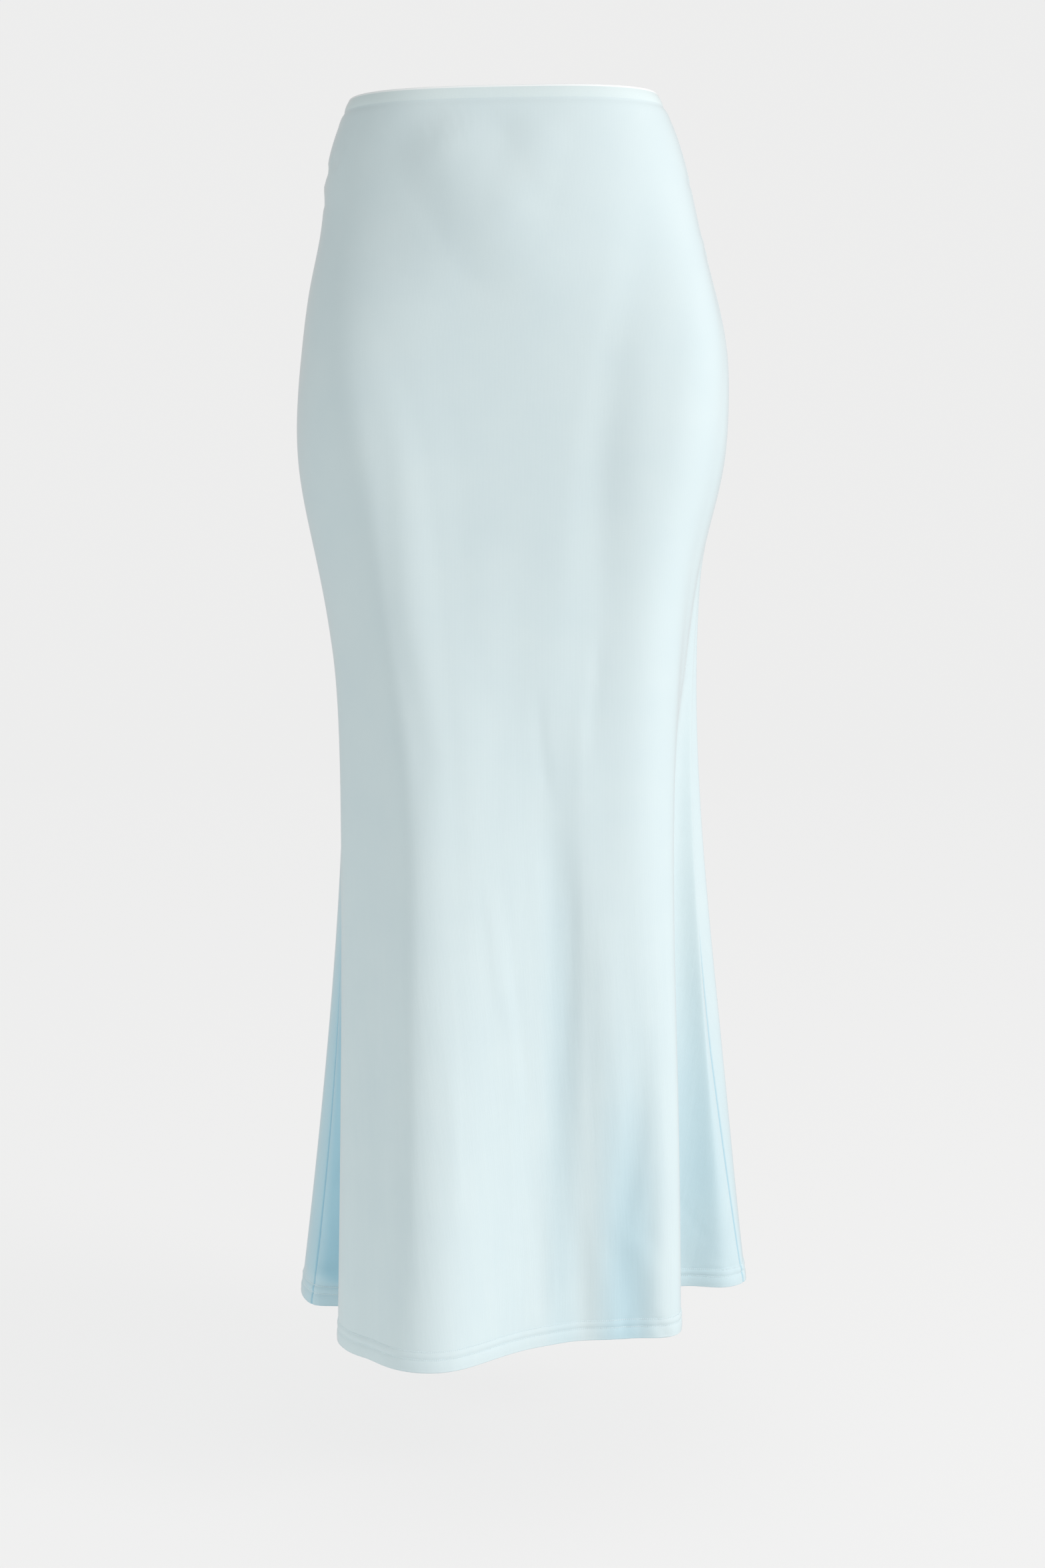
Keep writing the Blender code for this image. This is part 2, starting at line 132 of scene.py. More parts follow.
# Creases: a line along `path` that stands `rise` above the cloth or, below zero, sinks into it,
# and ends `reach` to each side; `soft_top` and `soft_end` are the shares of its length over which
# it fades in and out, and `lean` narrows the side to the left of its path and widens the other
Crease = namedtuple("Crease", "name reach rise soft_top soft_end lean path")
CREASES = (
    # Front, waist and hips
    Crease("waist dimple", 0.0065, -0.0013, 0.3, 0.3, 0.0,
           ((197.5, 0.0500), (201.0, 0.0525), (205.0, 0.0540))),
    Crease("waist pucker", 0.0050, 0.0007, 0.3, 0.4, 0.0,
           ((206.8, 0.0400), (207.4, 0.0530), (206.5, 0.0660))),
    Crease("left side notch", 0.0080, -0.0021, 0.1, 0.6, 0.0,
           ((178.0, 0.0555), (184.0, 0.0560), (192.0, 0.0580), (199.0, 0.0610))),
    Crease("left side roll", 0.0070, 0.0012, 0.1, 0.6, 0.0,
           ((177.0, 0.0680), (184.0, 0.0690), (193.0, 0.0720))),
    Crease("left side pull", 0.0065, -0.0009, 0.1, 0.7, 0.0,
           ((178.0, 0.0800), (186.0, 0.0820), (200.0, 0.0880), (212.0, 0.0900))),
    Crease("belly pull", 0.0460, 0.0034, 0.15, 0.5, 0.0,
           ((237.5, 0.0200), (251.0, 0.0600), (259.5, 0.0850), (268.0, 0.1150),
            (284.5, 0.1350), (303.0, 0.1500))),
    Crease("belly far line", 0.0300, 0.0011, 0.15, 0.3, 0.0,
           ((288.0, 0.0200), (282.0, 0.0600), (276.5, 0.0900), (273.0, 0.1200))),
    Crease("left belly hollow", 0.0580, -0.0034, 0.25, 0.35, 0.0,
           ((219.0, 0.0150), (225.0, 0.0700), (227.0, 0.1250), (226.0, 0.1850))),
    Crease("left thigh line", 0.0290, 0.0019, 0.3, 0.3, -0.35,
           ((226.5, 0.1850), (231.0, 0.2400), (235.0, 0.2850), (237.0, 0.3400), (239.0, 0.4050),
            (242.5, 0.4500), (247.5, 0.5050), (249.0, 0.5400), (247.0, 0.5950), (247.0, 0.6700))),
    Crease("upper cross pull", 0.0045, 0.0004, 0.4, 0.4, 0.0,
           ((216.0, 0.1310), (232.0, 0.1400), (248.0, 0.1400))),
    Crease("lower cross pull", 0.0048, 0.0004, 0.3, 0.5, 0.0,
           ((210.0, 0.1735), (228.0, 0.1775), (250.0, 0.1750))),
    Crease("right thigh line", 0.0300, 0.0018, 0.3, 0.4, 0.0,
           ((322.5, 0.1550), (316.5, 0.1950), (314.0, 0.2400), (312.5, 0.2850), (311.5, 0.3400),
            (311.0, 0.4250))),
    Crease("right seam pucker", 0.0060, -0.0009, 0.1, 0.6, 0.0,
           ((353.0, 0.0700), (346.0, 0.0720), (338.0, 0.0760))),
    Crease("right seam roll", 0.0065, 0.0007, 0.1, 0.6, 0.0,
           ((353.0, 0.1180), (345.0, 0.1210), (337.0, 0.1260))),
    # Front, below the knee
    Crease("knee pinch", 0.0070, -0.0008, 0.4, 0.4, 0.4,
           ((283.0, 0.4600), (284.7, 0.5250), (288.0, 0.5750))),
    Crease("right knee pinch", 0.0075, -0.0009, 0.4, 0.4, -0.3,
           ((304.0, 0.4200), (301.5, 0.4775), (300.0, 0.5500))),
    Crease("right knee edge", 0.0060, 0.0005, 0.4, 0.4, 0.0,
           ((297.0, 0.4700), (296.5, 0.5300), (297.5, 0.5850))),
    Crease("front trough", 0.0210, -0.0024, 0.25, 0.3, 0.0,
           ((285.5, 0.5000), (288.5, 0.6000), (290.0, 0.6600), (290.5, 0.7250),
            (290.0, 0.7775), (289.5, 0.8575), (290.5, 0.9600))),
    Crease("front trough line", 0.0065, -0.0007, 0.3, 0.4, 0.3,
           ((294.0, 0.6000), (294.5, 0.6700), (293.5, 0.7400), (292.0, 0.8000))),
    Crease("middle ridge", 0.0110, 0.0008, 0.4, 0.4, -0.2,
           ((263.5, 0.6150), (266.0, 0.6675), (268.0, 0.7150), (273.0, 0.7650))),
    Crease("middle line", 0.0080, -0.0006, 0.4, 0.4, 0.0,
           ((272.5, 0.6400), (273.0, 0.7000), (276.0, 0.7700), (279.0, 0.8300))),
    Crease("right ridge", 0.0190, 0.0018, 0.4, 0.4, 0.0,
           ((303.5, 0.5800), (304.7, 0.6725), (305.7, 0.7250), (306.7, 0.8050), (304.5, 0.9000))),
    Crease("right trough", 0.0150, -0.0020, 0.4, 0.3, 0.2,
           ((318.0, 0.7000), (316.5, 0.7800), (315.5, 0.8350), (313.0, 0.8875),
            (310.5, 0.9300))),
    Crease("right rim line", 0.0100, 0.0010, 0.4, 0.3, 0.0,
           ((324.0, 0.7600), (323.5, 0.8400), (324.0, 0.9200), (325.0, 0.9700))),
    Crease("fork valley", 0.0150, -0.0012, 0.3, 0.25, 0.0,
           ((308.5, 0.9000), (309.5, 0.9250), (311.0, 0.9450), (313.0, 0.9650),
            (314.3, 0.9850), (314.8, 1.0010))),
    Crease("fork crest", 0.0130, 0.0012, 0.3, 0.25, 0.0,
           ((316.0, 0.9150), (317.3, 0.9250), (320.0, 0.9420), (322.5, 0.9580),
            (323.5, 0.9800), (323.7, 0.9950))),
    Crease("hem valley", 0.0130, -0.0009, 0.4, 0.25, 0.0,
           ((295.5, 0.8900), (296.5, 0.9300), (298.0, 0.9800), (298.2, 1.0010))),
    Crease("hem pucker", 0.0050, -0.0010, 0.4, 0.1, 0.0,
           ((321.0, 0.9750), (324.2, 0.9900), (327.0, 1.0010))),
    Crease("second hem pucker", 0.0045, -0.0007, 0.4, 0.1, 0.0,
           ((311.0, 0.9780), (312.5, 0.9900), (313.5, 1.0010))),
    Crease("left lobe trough", 0.0110, -0.0009, 0.4, 0.3, 0.0,
           ((231.5, 0.7000), (233.7, 0.7950), (234.2, 0.8725), (235.0, 0.9600))),
    Crease("left lobe ridge", 0.0110, 0.0009, 0.4, 0.3, 0.0,
           ((216.0, 0.7000), (217.2, 0.8025), (218.2, 0.8800), (219.2, 0.9650))),
    Crease("left lobe line", 0.0070, -0.0005, 0.4, 0.4, 0.0,
           ((224.5, 0.7800), (226.0, 0.8600), (226.5, 0.9400))),
    Crease("crest line", 0.0090, 0.0007, 0.4, 0.4, 0.3,
           ((251.0, 0.7200), (253.0, 0.8200), (254.0, 0.9200))),
    Crease("middle hem line", 0.0090, -0.0006, 0.5, 0.2, 0.0,
           ((281.0, 0.8700), (282.5, 0.9300), (282.0, 0.9900))),
    Crease("right flare trough", 0.0280, -0.0027, 0.4, 0.15, 0.0,
           ((348.9, 0.6500), (349.0, 0.7475), (349.0, 0.8050), (349.0, 0.8625), (348.9, 0.9400),
            (348.9, 1.0010))),
    Crease("right flare pull", 0.0060, -0.0003, 0.3, 0.4, 0.0,
           ((344.0, 0.9000), (346.5, 0.9400), (348.5, 0.9700))),
    Crease("right flare pucker", 0.0045, -0.0007, 0.3, 0.2, 0.0,
           ((349.5, 0.9760), (350.3, 0.9870), (350.6, 0.9960))),
    Crease("left flare pull", 0.0060, -0.0008, 0.3, 0.4, 0.0,
           ((187.0, 0.8600), (184.5, 0.9000), (182.5, 0.9350))),
    Crease("left flare pucker", 0.0034, -0.0008, 0.1, 0.6, 0.0,
           ((181.1, 0.9440), (182.6, 0.9445), (184.2, 0.9460))),
    Crease("left flare second pucker", 0.0034, -0.0007, 0.1, 0.6, 0.0,
           ((181.1, 0.9520), (182.4, 0.9525), (183.8, 0.9535))),
    Crease("left flare hem roll", 0.0095, 0.0026, 0.15, 0.2, -0.3,
           ((181.1, 0.9750), (184.0, 0.9755), (188.5, 0.9760))),
    # Back, in the same manner
    Crease("small of the back", 0.0110, -0.0013, 0.4, 0.4, 0.2,
           ((66.0, 0.0480), (88.0, 0.0560), (112.0, 0.0500))),
    Crease("back waist roll", 0.0090, 0.0008, 0.4, 0.4, 0.0,
           ((72.0, 0.0660), (92.0, 0.0720), (108.0, 0.0680))),
    Crease("back left waist pull", 0.0060, -0.0008, 0.1, 0.6, 0.0,
           ((184.0, 0.0620), (172.0, 0.0640), (158.0, 0.0700))),
    Crease("back right waist pull", 0.0065, -0.0009, 0.1, 0.6, 0.0,
           ((-10.0, 0.0740), (4.0, 0.0770), (18.0, 0.0840))),
    Crease("back right hip pull", 0.0075, 0.0007, 0.1, 0.6, 0.0,
           ((-10.0, 0.1250), (8.0, 0.1320), (26.0, 0.1360))),
    Crease("right seat fold", 0.0140, -0.0016, 0.4, 0.4, 0.4,
           ((44.0, 0.3720), (58.0, 0.3900), (76.0, 0.3900))),
    Crease("left seat fold", 0.0130, -0.0014, 0.4, 0.4, 0.4,
           ((104.0, 0.3860), (120.0, 0.3880), (136.0, 0.3720))),
    Crease("right thigh pull", 0.0100, -0.0009, 0.4, 0.4, 0.0,
           ((52.0, 0.4200), (62.0, 0.4600), (70.0, 0.5200))),
    Crease("left thigh pull", 0.0100, -0.0010, 0.4, 0.4, 0.0,
           ((130.0, 0.4150), (119.0, 0.4600), (112.0, 0.5150))),
    Crease("back knee fold", 0.0110, -0.0011, 0.5, 0.5, 0.2,
           ((58.0, 0.5150), (72.0, 0.5250), (86.0, 0.5150))),
    Crease("back left knee fold", 0.0100, -0.0010, 0.5, 0.5, 0.2,
           ((102.0, 0.5300), (116.0, 0.5400), (130.0, 0.5280))),
    Crease("back right furrow", 0.0170, -0.0021, 0.4, 0.3, 0.0,
           ((62.0, 0.5700), (65.0, 0.6800), (66.0, 0.8000), (66.0, 0.9600))),
    Crease("back right furrow line", 0.0070, -0.0008, 0.4, 0.4, 0.3,
           ((59.0, 0.6400), (61.5, 0.7200), (62.5, 0.8200))),
    Crease("back left furrow", 0.0170, -0.0021, 0.4, 0.3, 0.0,
           ((108.0, 0.5900), (111.0, 0.7000), (112.0, 0.8200), (112.0, 0.9600))),
    Crease("back left furrow line", 0.0070, -0.0008, 0.4, 0.4, -0.3,
           ((117.0, 0.6200), (116.5, 0.7200), (116.0, 0.8000))),
    Crease("back crest line", 0.0100, 0.0011, 0.4, 0.4, 0.2,
           ((84.0, 0.6600), (83.0, 0.7800), (82.0, 0.9000))),
    Crease("back crest far line", 0.0090, -0.0008, 0.4, 0.4, 0.0,
           ((92.0, 0.6900), (94.0, 0.8000), (95.0, 0.9300))),
    Crease("back right crest line", 0.0110, 0.0010, 0.4, 0.4, 0.0,
           ((40.0, 0.6300), (39.0, 0.7600), (38.0, 0.9100))),
    Crease("back right slope line", 0.0080, -0.0008, 0.4, 0.4, 0.0,
           ((50.0, 0.7000), (51.5, 0.8000), (52.5, 0.9200))),
    Crease("back left crest line", 0.0110, 0.0010, 0.4, 0.4, 0.0,
           ((127.0, 0.6500), (128.0, 0.7800), (128.5, 0.9200))),
    Crease("back left slope line", 0.0085, -0.0009, 0.4, 0.4, 0.0,
           ((137.0, 0.6900), (137.5, 0.8000), (138.0, 0.9200))),
    Crease("back right wall line", 0.0090, -0.0010, 0.4, 0.4, 0.0,
           ((14.0, 0.6000), (15.0, 0.7200), (16.0, 0.8600))),
    Crease("back right trough line", 0.0120, -0.0015, 0.4, 0.3, 0.0,
           ((4.0, 0.6200), (4.5, 0.7400), (5.0, 0.8600), (5.0, 0.9600))),
    Crease("back left wall line", 0.0090, -0.0009, 0.4, 0.4, 0.0,
           ((156.0, 0.6200), (157.0, 0.7400), (157.5, 0.8600))),
    Crease("back left trough line", 0.0120, -0.0014, 0.4, 0.3, 0.0,
           ((167.0, 0.6400), (167.5, 0.7600), (168.0, 0.8800), (168.0, 0.9600))),
    Crease("back hem pucker", 0.0050, -0.0009, 0.4, 0.1, 0.0,
           ((56.0, 0.9740), (57.5, 0.9880), (58.5, 1.0010))),
    Crease("back left hem pucker", 0.0050, -0.0008, 0.4, 0.1, 0.0,
           ((120.0, 0.9760), (118.8, 0.9890), (118.2, 1.0010))),
    Crease("back right hem pucker", 0.0045, -0.0007, 0.4, 0.1, 0.0,
           ((26.0, 0.9780), (27.0, 0.9900), (27.5, 1.0010))),
)

# Long ridges and hollows: at each drop, the rise in their middle and their spread to each side
Swell = namedtuple("Swell", "drop turn spread rise")
SWELLS = {
    "belly": (
        Swell(0.000, 279.0, 40.0, 0.0000),
        Swell(0.060, 280.0, 40.0, 0.0030),
        Swell(0.120, 282.0, 38.0, 0.0035),
        Swell(0.200, 282.0, 38.0, 0.0015),
        Swell(0.300, 282.0, 38.0, 0.0000),
    ),
    "left ridge": (
        Swell(0.160, 212.0, 15.0, 0.0000),
        Swell(0.270, 224.0, 16.0, 0.0035),
        Swell(0.360, 230.0, 16.0, 0.0045),
        Swell(0.450, 234.0, 16.0, 0.0045),
        Swell(0.550, 239.0, 15.0, 0.0045),
        Swell(0.680, 241.0, 14.0, 0.0030),
        Swell(0.850, 241.0, 14.0, 0.0010),
        Swell(1.000, 241.0, 14.0, 0.0000),
    ),
    "left hollow": (
        Swell(0.100, 197.0, 18.0, 0.0000),
        Swell(0.200, 200.0, 20.0, -0.0030),
        Swell(0.300, 206.0, 20.0, -0.0065),
        Swell(0.430, 212.0, 21.0, -0.0085),
        Swell(0.550, 219.0, 21.0, -0.0090),
        Swell(0.700, 221.0, 20.0, -0.0085),
        Swell(0.850, 222.0, 19.0, -0.0060),
        Swell(1.000, 224.0, 18.0, 0.0000),
    ),
    "right hollow": (
        Swell(0.060, 324.0, 13.0, 0.0000),
        Swell(0.130, 321.0, 14.0, -0.0015),
        Swell(0.245, 312.0, 14.0, -0.0020),
        Swell(0.350, 306.0, 14.0, -0.0020),
        Swell(0.520, 302.0, 14.0, 0.0000),
    ),
    "right ridge": (
        Swell(0.080, 336.0, 16.0, 0.0000),
        Swell(0.150, 331.0, 17.0, 0.0040),
        Swell(0.250, 325.0, 17.0, 0.0075),
        Swell(0.360, 321.0, 17.0, 0.0075),
        Swell(0.500, 320.0, 17.0, 0.0060),
        Swell(0.700, 321.0, 17.0, 0.0050),
        Swell(0.880, 322.0, 16.0, 0.0040),
        Swell(1.000, 322.0, 16.0, 0.0000),
    ),
    "front hollow": (
        Swell(0.480, 284.0, 13.0, 0.0000),
        Swell(0.600, 285.0, 14.0, -0.0025),
        Swell(0.720, 285.0, 14.0, -0.0035),
        Swell(0.860, 283.0, 13.0, -0.0030),
        Swell(1.000, 283.0, 13.0, 0.0000),
    ),
}

# Painted shade: where the cloth is painted a deeper, darker blue inside folds, standing in for
# their shade and for the light that reaches them only through the cloth: each comes in over the
# rise set just below, under `start`, and goes out over `fade` above `end`
ShadedFold = namedtuple("ShadedFold", "turn spread start end fade depth")
PAINTED_SHADE_RISE = 0.26
PAINTED_SHADE_FOLDS = (
    ShadedFold(183.5, 12.0, 0.53, 1.20, 0.12, 0.48),
    ShadedFold(183.5, 12.0, 0.53, 0.985, 0.015, 0.32),
    ShadedFold(187.0, 5.5, 0.60, 0.99, 0.015, 0.55),
    ShadedFold(347.5, 5.0, 0.62, 1.02, 0.12, 0.14),
    ShadedFold(347.0, 12.0, 0.66, 1.20, 0.12, 0.20),
    ShadedFold(5.0, 9.0, 0.55, 1.20, 0.12, 0.45),
    ShadedFold(168.0, 8.0, 0.55, 1.20, 0.12, 0.45),
    ShadedFold(66.0, 7.0, 0.60, 1.20, 0.12, 0.30),
    ShadedFold(112.0, 7.0, 0.60, 1.20, 0.12, 0.30),
    ShadedFold(313.0, 14.0, 0.70, 1.20, 0.12, 0.50),
    ShadedFold(290.0, 9.0, 0.50, 1.20, 0.12, 0.15),
)
SEAM_PAINTED_SHADE = 0.90  # painted shade, added in the side seams' grooves
RIM_PAINTED_HIGHLIGHT = -0.75  # below zero: painted highlight on the cloth over the waist edge's rim

# The hem's cover stitch: two rows of slanted stitches outside, one thread between them inside
STITCH_ROWS = (0.0097, 0.0156)  # above the hem's edge
STITCH_PITCH = 0.0017
STITCH_REACH = 0.00080  # half a stitch along the row
STITCH_SLANT = 0.00042  # and half of what it climbs
STITCH_BOW = 0.00014
LOOPER_ROWS = (0.0102, 0.0151)
LOOPER_BOW = 0.00008
THREAD = 0.00024  # the thread's radius
THREAD_SHARES = (0.0, 0.22, 0.78, 1.0)  # its rings along each length, their lift and width
THREAD_LIFTS = (-0.6, 1.0, 1.0, -0.6)
THREAD_WIDTHS = (0.45, 1.0, 1.0, 0.45)

# Relief that follows the sewing: ridges, and furrows below zero, with the place of their middle
# and their spread to each side. Waist: drops. Hem: heights above its edge. Seam: distances from it
Ridge = namedtuple("Ridge", "rise middle spread")
WAIST_RIDGES = (
    Ridge(0.00045, 0.0052, 0.0052),  # over the elastic
    Ridge(-0.00050, 0.0112, 0.0034),  # the furrow below it
    Ridge(0.00035, 0.0165, 0.0060),
)
HEM_RIDGES = (
    Ridge(-0.00042, STITCH_ROWS[1], 0.0017),  # pinched by the stitches
    Ridge(-0.00042, STITCH_ROWS[0], 0.0017),
    Ridge(0.00022, 0.0126, 0.0024),  # puffed between them and below them
    Ridge(0.00030, 0.0050, 0.0045),
)
HEM_PROUD = 0.00055  # how far the whole turned hem stands out
HEM_PROUD_TOP = 0.0012  # where that begins, above the turn
HEM_PROUD_STEP = 0.0022
RIPPLE_RISE = 0.00030
RIPPLE_WAVES = (0.0230, 0.0870, 0.1410)  # its length, that of its drift and of its swell
RIPPLE_HEIGHT = (0.0110, 0.0150)  # its middle and spread above the hem's edge
SEAM_DEPTH = 0.00115
SEAM_WIDTH = 0.0009
SEAM_RIDGES = (Ridge(0.00030, 0.0045, 0.0040),)  # the allowance inside
SEAM_FADE = 0.03  # the drop over which the side seams come in

# Colours, the knit and the threads
CLOTH_COLOUR = (0.632, 0.742, 0.762)
# The waist casing's cloth: the same jersey painted lighter, a painted highlight for the light on
# the waist band
CASING_PAINTED_LIGHT_COLOUR = (0.672, 0.778, 0.785)
THREAD_COLOUR = (0.690, 0.800, 0.830)
# Painted highlight on the waist edge's rim
RIM_HIGHLIGHT_COLOUR = (0.93, 0.955, 0.96, 1.0)
# Painted shade between the knit's ribs
RIB_GAP_SHADE = (0.972, 0.980, 0.985, 1.0)
# Painted shade in folds
PAINTED_FOLD_SHADE = (0.60, 0.83, 0.94, 1.0)
# Painted shade in the side seams' grooves, on top of the fold shade
PAINTED_SEAM_SHADE = (0.72, 0.85, 0.93, 1.0)
WALE = 0.00098  # from one rib to the next
COURSE = 0.00082  # from one loop to the next

# The studio
FLOOR = -1.142
SWEEP_RADIUS = 4.6
SWEEP_BEND = 1.2
SWEEP_TOP = 5.0
SWEEP_SIDES = 96
SWEEP_COLOUR = (0.13, 0.13, 0.128, 1)
SWEEP_GLOW = 0.76
SKY_COLOUR = (0.985, 0.99, 0.985, 1)
SKY_STRENGTH = 0.57
LIGHTS = (  # name, place, target, size, power, colour
    ("key", (3.3, -1.9, 0.75), (0, 0, -0.5), (1.6, 2.0), 107, (1.0, 0.935, 0.925)),
    ("fill", (-0.3, -3.4, -0.3), (0, 0, -0.7), (1.8, 1.2), 8.5, (1.0, 1.0, 1.0)),
    ("left_bounce", (-1.1, -0.5, -1.13), (-0.1, 0, -0.65), (1.2, 1.2), 4.2, (0.98, 1.0, 1.0)),
    ("right_bounce", (1.3, -0.7, -1.12), (0.17, -0.03, -0.8), (1.0, 1.0), 1.8, (0.7, 0.93, 1.0)),
)
CAMERA_PLACE = (0.0154, -2.2, -0.2985)
CAMERA_PITCH = -6.94  # degrees from level
CAMERA_LENS = 59.86
CAMERA_SENSOR = 36.0  # its height

# Steps of calculation
TURN_STEP = 0.1
DROP_STEP = 0.0005
STITCH_STEP = 0.0006
CREASE_STEPS = 60
CREASE_MARGIN = 25.0  # degrees to each side of a crease in which its relief is worked out
SHARP_EDGE = math.radians(50)


@lru_cache(maxsize=None)
def spline_bends(knots):
    """Matrix that turns a natural cubic spline's values into its bend at each knot."""
    gaps = np.diff(knots)
    system, change = np.eye(len(knots)), np.zeros((len(knots), len(knots)))
    for row in range(1, len(knots) - 1):
        before, after = gaps[row - 1], gaps[row]
        system[row, row - 1 : row + 2] = before, 2 * (before + after), after
        change[row, row - 1 : row + 2] = 6 / before, -6 / before - 6 / after, 6 / after
    return np.linalg.solve(system, change)


def spline(knots, values, places):
    """Read the natural cubic spline through (knots, values) at `places`."""
    knots = np.asarray(knots, float)
    values = np.asarray(values, float)
    gaps = np.diff(knots)
    bends = spline_bends(tuple(knots)) @ values
    span = np.clip(np.searchsorted(knots, places, side="right") - 1, 0, len(gaps) - 1)
    gap = gaps[span][:, None]
    low = (knots[span + 1] - places)[:, None]
    high = (places - knots[span])[:, None]
    return (
        (bends[span] * low**3 + bends[span + 1] * high**3) / (6 * gap)
        + (values[span] / gap - bends[span] * gap / 6) * low
        + (values[span + 1] / gap - bends[span + 1] * gap / 6) * high
    )


def bell(share):
    """1 at 0, falling softly to 0 at 1 on each side."""
    return np.clip(1 - np.square(share), 0, None) ** 2


def ease(share):
    """0 up to 0, 1 from 1 on, and a soft step between."""
    held = np.clip(share, 0, 1)
    return held * held * (3 - 2 * held)


def row_at(table, drop):
    """Values of a table's columns at one drop, from the spline through its rows."""
    table = np.array(table)
    return spline(table[:, 0], table[:, 1:], np.array([drop]))[0]


def tube(turns, drop):
    """Points (x, y) round the fitted tube, without the fishtail."""
    section = Section(drop, *row_at(SECTIONS, drop))
    angles = np.radians(turns)
    across, along = np.cos(angles), np.sin(angles)
    half_width = np.where(across > 0, section.right, section.left)
    depth = np.where(along > 0, section.back, section.front)
    square = np.where(along > 0, section.back_square, section.front_square)
    reach = (
        np.abs(across / half_width) ** square + np.abs(along / depth) ** square
    ) ** (-1 / square)
    return np.column_stack((reach * across, reach * along))


def turns_between(turns, middle):
    """Degrees from `middle` to each turn, the shorter way round."""
    return (turns - middle + FULL_TURN / 2) % FULL_TURN - FULL_TURN / 2


FOLD_TURNS = np.array([fold.turn for fold in FOLDS])
HEM_SHIFTS = np.array([(fold.hem_x, fold.hem_y) for fold in FOLDS]) - tube(FOLD_TURNS, LENGTH)
ROUND_TURNS = np.concatenate((FOLD_TURNS - FULL_TURN, FOLD_TURNS, FOLD_TURNS + FULL_TURN))


def swells(turns, drop):
    """Shifts (x, y) of the long ridges and troughs at one drop, straight out from the axis."""
    risen = np.zeros(len(turns))
    for rows in SWELLS.values():
        if rows[0].drop < drop < rows[-1].drop:
            middle, spread, rise = row_at(rows, drop)
            risen += rise * bell(turns_between(turns, middle) / spread)
    angles = np.radians(turns)
    return np.column_stack((risen * np.cos(angles), risen * np.sin(angles)))


def skirt(turns, drop):
    """Points of the skirt's outer face at one drop, before any crease."""
    places = np.asarray(turns, float)
    grown = np.array([
        max(0.0, (drop - fold.start) / (LENGTH - fold.start)) ** fold.power
        for fold in FOLDS
    ])
    shifts = np.tile(grown[:, None] * HEM_SHIFTS, (3, 1))
    plan = tube(places, drop) + spline(ROUND_TURNS, shifts, places)
    plan += swells(places, drop)
    lift = WAIST_TILT * plan[:, 0] * max(0.0, 1 - drop / TILT_FADE)
    return np.column_stack((plan, lift - drop))


def skirt_frames(turns, drop):
    """Points of the outer face, with the directions round the body and out of the cloth."""
    turns = np.asarray(turns, float)
    around = skirt(turns + TURN_STEP, drop) - skirt(turns - TURN_STEP, drop)
    upper = max(0.0, drop - DROP_STEP)
    lower = min(LENGTH, drop + DROP_STEP)
    down = skirt(turns, lower) - skirt(turns, upper)
    out = np.cross(down, around)
    around /= np.linalg.norm(around, axis=1)[:, None]
    out /= np.linalg.norm(out, axis=1)[:, None]
    return skirt(turns, drop), around, out


@lru_cache(maxsize=None)
def crease_line(crease):
    """Turns and points along a crease on the outer face, closely spaced."""
    marks = np.array(crease.path, float)
    places = spline(np.linspace(0, 1, len(marks)), marks, np.linspace(0, 1, CREASE_STEPS))
    return places[:, 0], np.array([skirt([turn], min(drop, LENGTH))[0] for turn, drop in places])


def crease_relief(points, turns, out):
    """How far all the creases move each point of a grid out of the cloth."""
    relief = np.zeros(points.shape[:2])
    for crease in CREASES:
        line_turns, line = crease_line(crease)
        middle = (line_turns.min() + line_turns.max()) / 2
        span = (line_turns.max() - line_turns.min()) / 2 + CREASE_MARGIN
        widest = crease.reach / (1 - abs(crease.lean))
        boxed = np.all((points > line.min(0) - widest) & (points < line.max(0) + widest), axis=2)
        rows, columns = np.nonzero(boxed & (np.abs(turns_between(turns, middle)) < span))
        if not len(rows):
            continue
        away = points[rows, columns][:, None, :] - line[None, :, :]
        distance = np.linalg.norm(away, axis=2)
        nearest = distance.argmin(1)
        picked = np.arange(len(rows))
        heading = np.gradient(line, axis=0)[nearest]
        side = np.sign(np.einsum(
            "ij,ij->i", np.cross(heading, away[picked, nearest]), out[rows, columns]))
        length = nearest / (CREASE_STEPS - 1)
        fade = ease(length / crease.soft_top) * ease((1 - length) / crease.soft_end)
        share = distance[picked, nearest] / crease.reach * (1 + crease.lean * side)
        relief[rows, columns] += crease.rise * bell(share) * fade
    return relief


def row_drops(start, end):
    """Drops of a panel's rows: close together by the casing and the hem, wider between."""
    top = [start + step for step in TOP_ROWS]
    hem = [end - step for step in HEM_ROWS]
    count = math.ceil((hem[0] - top[-1]) / ROW_HEIGHT)
    count += (len(top) + len(hem) + count) % 2  # the number of rows is odd
    return np.array(top + list(np.linspace(top[-1], hem[0], count + 1))[1:-1] + hem)


def distances(line):
    """Distance along a line of points from its first point to each."""
    return np.concatenate(([0], np.cumsum(np.linalg.norm(np.diff(line, axis=0), axis=1))))


def column_turns(start, end):
    """Turns of a panel's columns: close together by the seams, even along the hem between."""
    fine = np.linspace(start, end, 1600)
    reach = distances(skirt(fine, LENGTH))
    total = reach[-1]
    edge = SEAM_COLUMNS[-1]
    count = math.ceil((total - 2 * edge) / COLUMN_WIDTH)
    marks = [0, *SEAM_COLUMNS[:-1], *np.linspace(edge, total - edge, count + 1)]
    marks += [total - step for step in SEAM_COLUMNS[:-1]][::-1] + [total]
    return np.interp(marks, reach, fine)


def raised(ridges, places):
    """How far a row of ridges lifts the cloth at each place across them."""
    return sum(ridge.rise * bell((places - ridge.middle) / ridge.spread) for ridge in ridges)


def hem_relief(drops):
    """The turned hem: a band that stands proud, pinched along its two rows of stitches."""
    above = LENGTH - drops
    band = HEM_PROUD * ease((HEM_TURN + HEM_PROUD_TOP - above) / HEM_PROUD_STEP)
    return band + raised(HEM_RIDGES, above)


